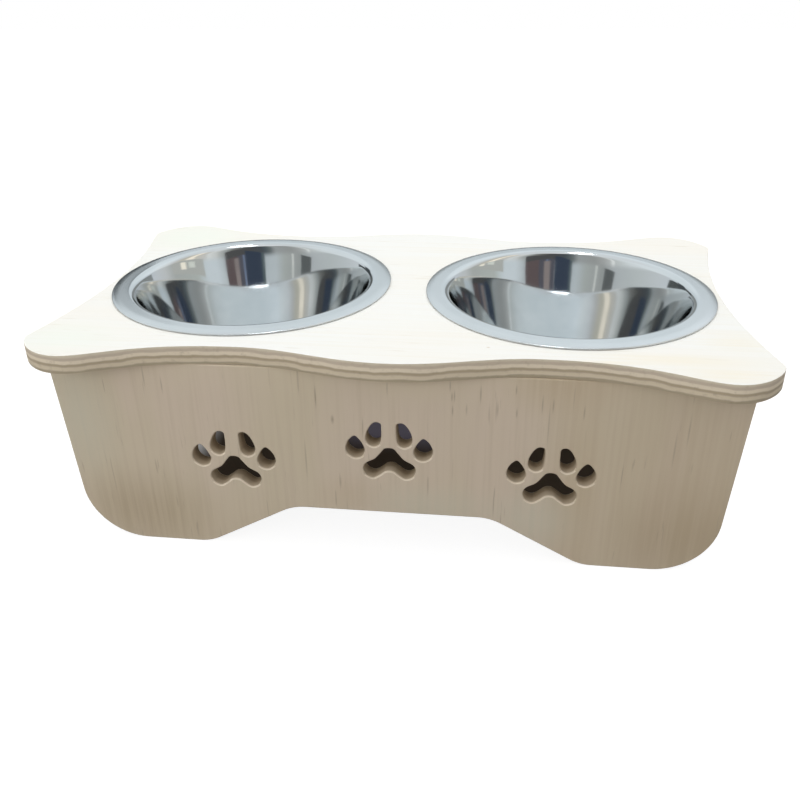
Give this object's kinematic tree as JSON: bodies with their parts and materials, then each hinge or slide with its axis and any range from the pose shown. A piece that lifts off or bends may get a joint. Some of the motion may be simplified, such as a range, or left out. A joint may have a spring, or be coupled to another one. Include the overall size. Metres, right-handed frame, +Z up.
{
  "type": "double pet feeder",
  "caption": "Low bone-shaped plywood feeder stand with paw-print cut-outs and round polished steel bowls that lift out.",
  "frame": {"origin": "middle of the footprint, on the floor", "axes": "+X along the stand, to the right seen from the front; +Y from the front to the rear; +Z up"},
  "size_m": [0.4152, 0.2476, 0.1365],
  "materials": {
    "plywood": "sanded bare plywood",
    "beech": "plain turned beech",
    "polished_steel": "mirror-polished stainless steel"
  },
  "bodies": {
    "stand": {"top_board": "plywood", "front_panel": "plywood", "rear_panel": "plywood", "left_end_panel": "plywood", "right_end_panel": "plywood", "front_panel_dowel_1": "beech", "front_panel_dowel_2": "beech", "front_panel_dowel_3": "beech", "front_panel_dowel_4": "beech", "rear_panel_dowel_1": "beech", "rear_panel_dowel_2": "beech", "rear_panel_dowel_3": "beech", "rear_panel_dowel_4": "beech", "left_end_dowel_front": "beech", "left_end_dowel_rear": "beech", "right_end_dowel_front": "beech", "right_end_dowel_rear": "beech", "front_left_joint_dowel_upper": "beech", "front_left_joint_dowel_lower": "beech", "front_right_joint_dowel_upper": "beech", "front_right_joint_dowel_lower": "beech", "rear_left_joint_dowel_upper": "beech", "rear_left_joint_dowel_lower": "beech", "rear_right_joint_dowel_upper": "beech", "rear_right_joint_dowel_lower": "beech"},
    "left_bowl": {"left_bowl": "polished_steel"},
    "right_bowl": {"right_bowl": "polished_steel"}
  },
  "joints": [
    {"name": "left_bowl_lift", "type": "slide", "parent": "stand", "child": "left_bowl", "axis": [0, 0, 1], "range_m": [0, 0.08]},
    {"name": "right_bowl_lift", "type": "slide", "parent": "stand", "child": "right_bowl", "axis": [0, 0, 1], "range_m": [0, 0.08]}
  ]
}
